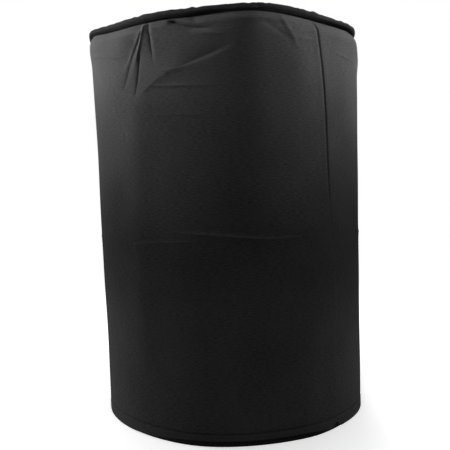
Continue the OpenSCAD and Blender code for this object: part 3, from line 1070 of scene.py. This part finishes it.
def seam_grid(inset):
    """The tape folded over the seam's raw edges, flattened at both ends."""
    flat = mix(0.45, 1, ease(np.minimum(seam_z - SEAM_LOW, SEAM_HIGH - seam_z) / 14))
    deep = SEAM_ALLOW + LAYER_GAP + TAPE_T
    down = np.array((0.02, 0.3, 0.6, 0.85)) * deep
    bend = np.radians(np.linspace(0, 180, 9))
    half = SEAM_HALF - inset
    across = np.concatenate((0 * down + half, half * np.cos(bend), 0 * down - half))
    depth = np.concatenate((down, deep - inset + (0.15 * deep - inset) * (np.sin(bend) - 1), down[::-1]))
    wave = 0.7 * np.sin(seam_z / 23) + 0.4 * np.sin(seam_z / 9.1 + 1)
    r = wall_r(seam_z) - FULL_DEPTH - depth[:, None] * mix(0.6, 1, flat)
    r = r + wall_waves(seam_az(seam_z), seam_z)
    sideways = across[:, None] * flat + wave * depth[:, None] / deep
    return on_wall(np.degrees(sideways / r), seam_z + 0 * r, r)


seam_face = seam_grid(0)
seam_uv = strip_uv(seam_z, run_along(seam_face[:, SEAM_MIDDLE]))
seam_tape = layer_mesh("closing_seam_fold", seam_face, seam_grid(TAPE_T), seam_uv)
finish_piece(seam_tape, "cover", "binding_tape", "closing_seam_tape")


# Stitches

STITCH_PITCH, STITCH_HALF, STITCH_R, STITCH_SIDES = 4.2, 1.55, 0.42, 6


def stitch_row(line, facing, sign=1, closed=True):
    """Places, directions and outward directions of even stitches along a line of points. facing gives
    the outward direction at a point, and a sign of -1 turns it round."""
    if closed:
        line = np.vstack((line, line[:1]))
    run = run_along(line)
    spots = np.linspace(0, run[-1], round(run[-1] / STITCH_PITCH), endpoint=False) + STITCH_PITCH / 2

    def at(where, values):
        return np.stack([np.interp(where, run, values[:, k]) for k in range(3)], -1)

    way = at(spots + 0.5, line) - at(spots - 0.5, line)
    way = way / np.linalg.norm(way, axis=-1, keepdims=True)
    return at(spots, line), way, at(spots, sign * facing(line))


def add_stitches(name, body, rows):
    """Grains of thread along rows of stitches."""
    places, ways, faces = (np.concatenate(parts) for parts in zip(*rows))
    faces = faces - ways * np.sum(faces * ways, -1, keepdims=True)
    faces = faces / np.linalg.norm(faces, axis=-1, keepdims=True)
    sides = np.cross(ways, faces)
    turns = np.linspace(0, math.tau, STITCH_SIDES, endpoint=False)
    rings = (-0.7, 0.75), (0, 1), (0.7, 0.75)
    shape = [(-1, 0, 0)]
    shape += [(t, w * math.cos(a), w * math.sin(a)) for t, w in rings for a in turns]
    shape = np.array([*shape, (1, 0, 0)]) * (STITCH_HALF, STITCH_R, STITCH_R)
    axes = enumerate((ways, sides, faces))
    points = places[:, None] + sum(shape[:, k, None] * axis[:, None] for k, axis in axes)

    pairs = [(k, (k + 1) % STITCH_SIDES) for k in range(STITCH_SIDES)]
    last = len(shape) - 1
    end = last - STITCH_SIDES
    grain = [(0, 1 + b, 1 + a) for a, b in pairs]
    for low in (1, 1 + STITCH_SIDES):
        high = low + STITCH_SIDES
        grain += [(low + a, low + b, high + b, high + a) for a, b in pairs]
    grain += [(last, end + a, end + b) for a, b in pairs]
    starts = range(0, len(places) * len(shape), len(shape))
    mesh = mesh_of(name, points, [[start + k for k in face] for start in starts for face in grain])
    mesh.uv_layers.new(name="weave")
    return finish_piece(as_piece(name, mesh), body, "binding_tape")


def radial(points):
    return points * (1, 1, 0) / np.linalg.norm(points[:, :2], axis=-1, keepdims=True)


def upright(points):
    return np.broadcast_to((0.0, 0.0, 1.0), points.shape)


bead_face = bead_grid(0)
hem_off = np.arange(0.6, 359.4, 0.5)
hem_level = np.full(len(hem_off), HEM_Z)
hem_r = wall_r(hem_level) - wall_sink(hem_level) + dressing(hem_off, hem_level)
hem_line = on_wall(hem_off, hem_level, hem_r)
add_stitches("cover_stitches", "cover", [
    stitch_row(bead_face[1], radial),
    stitch_row(bead_face[-2], radial, -1),
    stitch_row(hem_line, radial, closed=False),
    stitch_row(sole_grid(0)[-2], radial, -1),
    stitch_row(slot_face[1], upright),
    stitch_row(slot_face[-2], upright, -1),
    stitch_row(hinge_face[-2], upright, closed=False),
])
add_stitches("flap_stitches", "flap", [
    stitch_row(flap_face[1], upright),
    stitch_row(flap_face[-2], upright, -1),
])


# Camera, as fitted to the outline in the photograph

CAMERA_AT = (-12.1, -1001, 341)
CAMERA_TILT, CAMERA_ROLL, LENS = 1.82, -1.27, 44.5

camera = placed("camera", bpy.data.cameras.new("camera"))
camera.data.lens, camera.data.sensor_width = LENS, 36
tilt = Matrix.Rotation(math.radians(90 - CAMERA_TILT), 4, "X")
aim = tilt @ Matrix.Rotation(math.radians(CAMERA_ROLL), 4, "Z")
camera.matrix_world = Matrix.Translation(Vector(CAMERA_AT) * MM) @ aim
bpy.context.scene.camera = camera


# Studio: white floor with a painted shade round the cover's foot, white surroundings, five soft lamps round
# the cover and three low ones at its foot

def soft_lamp(name, place, target, size, power, spread=180):
    lamp = bpy.data.lights.new(name, "AREA")
    lamp.shape, lamp.size, lamp.energy, lamp.spread = "DISK", size, power, math.radians(spread)
    holder = placed(name, lamp)
    holder.location = place
    holder.rotation_euler = (Vector(target) - Vector(place)).to_track_quat("-Z", "Y").to_euler()
    holder.visible_camera = False


def seen_directly(made):
    """1 for camera, glossy and transmission rays, so that a glow doesn't light the cover's cloth."""
    path = made.add("LightPath")
    seen = made.math("MAXIMUM", path.outputs["Is Camera Ray"], path.outputs["Is Glossy Ray"])
    return made.math("MAXIMUM", seen, path.outputs["Is Transmission Ray"])


def white_world():
    world = bpy.context.scene.world or bpy.data.worlds.new("surroundings")
    bpy.context.scene.world = world
    world.use_nodes = True
    made = Nodes(world.node_tree)
    white = {"Color": (1, 1, 1, 1), "Strength": seen_directly(made)}
    made.fill(world.node_tree.nodes["Background"], white)


FLOOR_GAP = 0.2 * MM
# Radii over which the floor's glow rises from its low value at the foot: the painted shade round the cover
PAINTED_SHADE_INNER_R, PAINTED_SHADE_OUTER_R = 0.22, 0.45


def white_floor(size, painted_shade_glow, far_glow):
    """A pale floor whose glow is lower near the foot of the cover: a painted shade round the foot, under
    which the lamps' own shadow also shows.
    """
    mesh = bpy.data.meshes.new("floor")
    half = size / 2
    corners = (-half, -half, 0), (half, -half, 0), (half, half, 0), (-half, half, 0)
    mesh.from_pydata(corners, [], [(0, 1, 2, 3)])
    floor = placed("floor", mesh)
    floor.location.z = -FLOOR_GAP
    material, made = new_material("pale_floor")
    place = made.add("TexCoord").outputs["Object"]
    away = made.add("VectorMath", {0: place}, operation="LENGTH").outputs["Value"]
    painted_shade_fade = {0: away, 1: PAINTED_SHADE_INNER_R, 2: PAINTED_SHADE_OUTER_R, 3: painted_shade_glow, 4: far_glow}
    # The glow is lowest close to the foot and rises outwards: painted shade
    glow = made.add("MapRange", painted_shade_fade).outputs[0]
    made.surface({
        "Base Color": (0.8, 0.8, 0.8, 1),
        "Roughness": 0.9,
        "Specular IOR Level": 0.0,
        "Emission Color": (1, 1, 1, 1),
        "Emission Strength": made.math("MULTIPLY", seen_directly(made), glow),
    })
    mesh.materials.append(material)


white_world()
# Near the foot the floor glows at 0.52 instead of 1.0: painted shade round the cover
white_floor(size=12, painted_shade_glow=0.52, far_glow=1.0)
soft_lamp("lamp_left", (-1.15, -0.1, 1.0), (-0.15, 0, 0.85), size=0.7, power=12, spread=35)
soft_lamp("lamp_right", (1.2, 0.0, 1.0), (0.15, 0, 0.85), size=0.6, power=12.4, spread=35)
soft_lamp("lamp_close", (-0.55, 0.0, 0.75), (0, 0, 0.6), size=0.4, power=2.0)
soft_lamp("lamp_over", (0.05, -0.55, 1.1), (0, -0.15, 0.7), size=0.5, power=1.2, spread=90)
soft_lamp("lamp_low_left", (-0.48, -0.12, 0.05), (0, 0, 0.04), size=0.2, power=1.3)
soft_lamp("lamp_low_right", (0.48, -0.12, 0.05), (0, 0, 0.04), size=0.2, power=0.95)
soft_lamp("lamp_low_front", (0, -0.6, 0.08), (0, 0, 0.03), size=0.3, power=0.33)
soft_lamp("lamp_back", (0.1, 1.2, 0.8), (0, 0, 0.4), size=0.8, power=9.0)

bpy.context.scene.view_settings.view_transform = "Standard"
